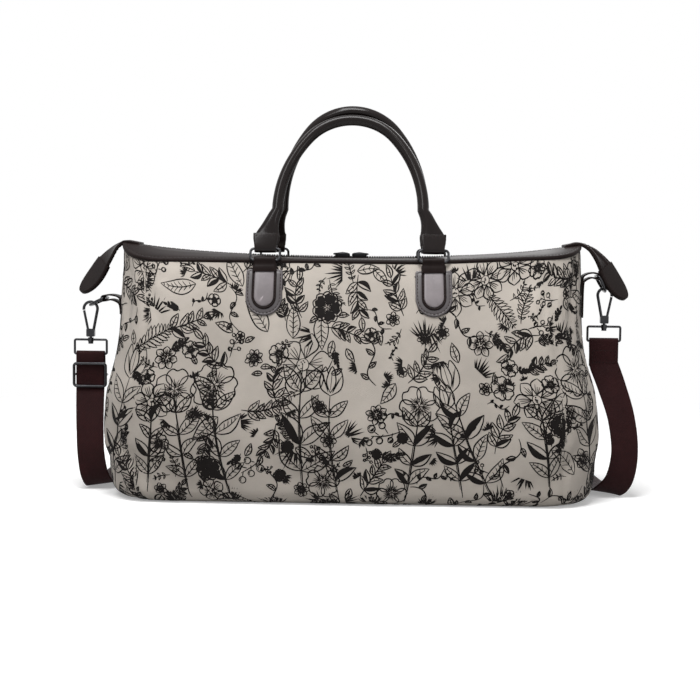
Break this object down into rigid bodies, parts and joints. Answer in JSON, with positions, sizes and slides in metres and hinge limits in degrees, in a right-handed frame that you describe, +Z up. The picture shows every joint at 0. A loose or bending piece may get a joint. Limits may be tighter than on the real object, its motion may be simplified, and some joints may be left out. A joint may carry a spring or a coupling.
{
  "type": "gym bag",
  "caption": "Weekender gym bag of printed fabric with two carry handles on rings, a curved two-way zip and a clip-on shoulder strap.",
  "frame": {"origin": "middle of the bag's flat underside", "axes": "+Z up, -Y the front with the lower handle, +X towards the right end as seen from the front"},
  "size_m": [0.5927, 0.2808, 0.4035],
  "materials": {
    "printed_fabric": "soft woven fabric with a printed outline pattern",
    "base_board": "stiff board",
    "zip_tape": "fine woven tape",
    "zip_teeth": "moulded teeth",
    "webbing": "ribbed webbing with a slight sheen",
    "leather": "smooth dark brown, satin",
    "handle_leather": "smooth dark brown, glossy",
    "gunmetal": "polished gunmetal"
  },
  "bodies": {
    "root": {"front_panel": "printed_fabric", "back_panel": "printed_fabric", "bottom_panel": "printed_fabric", "left_gusset": "printed_fabric", "right_gusset": "printed_fabric", "base_board": "base_board", "front_mouth_strip": "leather", "back_mouth_strip": "leather", "zip_tape": "zip_tape", "zip_chain": "zip_teeth", "left_zip_tail": "leather", "right_zip_tail": "leather", "left_tail_tab": "leather", "right_tail_tab": "leather", "left_end_tab": "leather", "right_end_tab": "leather", "front_left_patch": "leather", "front_right_patch": "leather", "back_left_patch": "leather", "back_right_patch": "leather", "front_left_chape": "leather", "front_right_chape": "leather", "back_left_chape": "leather", "back_right_chape": "leather", "left_strap_ring": "gunmetal", "right_strap_ring": "gunmetal", "shoulder_strap": "webbing", "strap_slide": "gunmetal"},
    "front_left_ring": {"front_left_ring": "gunmetal"},
    "front_right_ring": {"front_right_ring": "gunmetal"},
    "front_handle": {"front_handle": "handle_leather", "front_left_wrap": "leather", "front_right_wrap": "leather"},
    "back_left_ring": {"back_left_ring": "gunmetal"},
    "back_right_ring": {"back_right_ring": "gunmetal"},
    "back_handle": {"back_handle": "handle_leather", "back_left_wrap": "leather", "back_right_wrap": "leather"},
    "left_slider": {"left_slider": "gunmetal"},
    "left_pull": {"left_pull": "gunmetal"},
    "left_d_ring": {"left_d_ring": "gunmetal"},
    "left_hook": {"left_hook": "gunmetal"},
    "left_gate": {"left_gate": "gunmetal"},
    "right_slider": {"right_slider": "gunmetal"},
    "right_pull": {"right_pull": "gunmetal"},
    "right_d_ring": {"right_d_ring": "gunmetal"},
    "right_hook": {"right_hook": "gunmetal"},
    "right_gate": {"right_gate": "gunmetal"}
  },
  "joints": [
    {"name": "front_left_ring_tilt", "type": "hinge", "parent": "root", "child": "front_left_ring", "pos_m": [-0.085, -0.0542, 0.2415], "axis": [1, 0, 0], "range_deg": [0, 100]},
    {"name": "front_right_ring_tilt", "type": "hinge", "parent": "root", "child": "front_right_ring", "pos_m": [0.085, -0.0542, 0.2415], "axis": [1, 0, 0], "range_deg": [0, 100]},
    {"name": "front_handle_fold", "type": "hinge", "parent": "front_left_ring", "child": "front_handle", "pos_m": [-0.085, -0.04929, 0.25289], "axis": [1, 0, 0], "range_deg": [0, 80]},
    {"name": "back_left_ring_tilt", "type": "hinge", "parent": "root", "child": "back_left_ring", "pos_m": [-0.085, 0.0542, 0.2415], "axis": [-1, 0, 0], "range_deg": [0, 88]},
    {"name": "back_right_ring_tilt", "type": "hinge", "parent": "root", "child": "back_right_ring", "pos_m": [0.085, 0.0542, 0.2415], "axis": [-1, 0, 0], "range_deg": [0, 88]},
    {"name": "back_handle_fold", "type": "hinge", "parent": "back_left_ring", "child": "back_handle", "pos_m": [-0.085, 0.05173, 0.25365], "axis": [-1, 0, 0], "range_deg": [0, 80]},
    {"name": "left_slider_travel", "type": "hinge", "parent": "root", "child": "left_slider", "pos_m": [0, 0, 1.978], "axis": [0, 1, 0], "range_deg": [0, 6.6]},
    {"name": "left_pull_lift", "type": "hinge", "parent": "left_slider", "child": "left_pull", "pos_m": [-0.004, 0, 0.25], "axis": [0, 1, 0], "range_deg": [0, 90]},
    {"name": "right_slider_travel", "type": "hinge", "parent": "root", "child": "right_slider", "pos_m": [0, 0, 1.978], "axis": [0, -1, 0], "range_deg": [0, 6.6]},
    {"name": "right_pull_lift", "type": "hinge", "parent": "right_slider", "child": "right_pull", "pos_m": [0.004, 0, 0.25], "axis": [0, -1, 0], "range_deg": [0, 90]},
    {"name": "left_d_ring_swing", "type": "hinge", "parent": "root", "child": "left_d_ring", "pos_m": [-0.25868, 0, 0.1995], "axis": [0, -1, 0], "range_deg": [0, 6]},
    {"name": "left_hook_swivel", "type": "hinge", "parent": "root", "child": "left_hook", "pos_m": [-0.27473, 0, 0.15532], "axis": [0, 0, 1], "range_deg": [-40, 40]},
    {"name": "left_gate_open", "type": "hinge", "parent": "left_hook", "child": "left_gate", "pos_m": [-0.27733, 0, 0.16432], "axis": [0, 1, 0], "range_deg": [0, 20], "stiffness_Nm_per_rad": 0.05, "springref_deg": -5.73},
    {"name": "right_d_ring_swing", "type": "hinge", "parent": "root", "child": "right_d_ring", "pos_m": [0.25668, 0, 0.228], "axis": [0, 1, 0], "range_deg": [0, 3]},
    {"name": "right_hook_swivel", "type": "hinge", "parent": "root", "child": "right_hook", "pos_m": [0.26499, 0, 0.17567], "axis": [0, 0, 1], "range_deg": [-36, 36]},
    {"name": "right_gate_open", "type": "hinge", "parent": "right_hook", "child": "right_gate", "pos_m": [0.26759, 0, 0.18467], "axis": [0, -1, 0], "range_deg": [0, 20], "stiffness_Nm_per_rad": 0.05, "springref_deg": -5.73}
  ],
  "couplings": [
    {"joint": "front_right_ring_tilt", "follows": "front_left_ring_tilt", "ratio": 1},
    {"joint": "back_right_ring_tilt", "follows": "back_left_ring_tilt", "ratio": 1}
  ]
}
